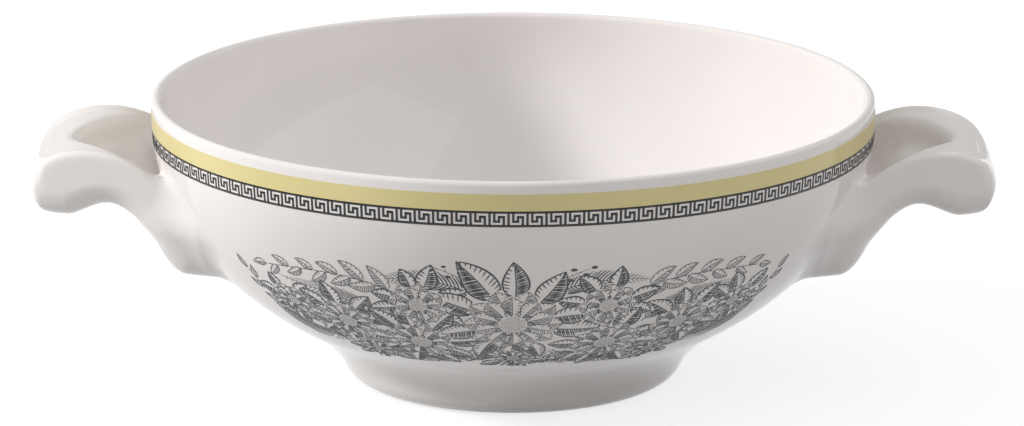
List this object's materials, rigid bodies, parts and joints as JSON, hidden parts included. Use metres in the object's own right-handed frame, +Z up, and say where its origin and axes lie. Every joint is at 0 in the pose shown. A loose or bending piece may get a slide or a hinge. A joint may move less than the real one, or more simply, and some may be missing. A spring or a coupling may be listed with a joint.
{
  "type": "soup cup",
  "caption": "Low round porcelain soup cup on a foot ring, with a scroll-shaped lug handle at each side, a yellow rim band, a key-fret border and printed walls.",
  "frame": {"origin": "centre of the foot ring in the plane that the cup stands on", "axes": "+X towards the right handle as seen from the front, -Y towards the front, +Z up out of the bowl"},
  "size_m": [0.1798, 0.1354, 0.054],
  "materials": {
    "bowl_porcelain": "white porcelain under a clear gloss glaze",
    "foot_porcelain": "gloss glaze, bare bisque where it stands",
    "handle_porcelain": "white porcelain under a clear gloss glaze",
    "yellow_colour": "fired straw-yellow colour, gloss",
    "black_colour": "fired black colour, gloss",
    "slate_print": "fired slate-grey print, gloss"
  },
  "bodies": {
    "root": {"bowl_body": "bowl_porcelain", "foot_ring": "foot_porcelain", "right_handle": "handle_porcelain", "left_handle": "handle_porcelain", "rim_colour_band": "yellow_colour", "key_border": "black_colour", "front_print": "slate_print", "rear_print": "slate_print"}
  },
  "joints": []
}
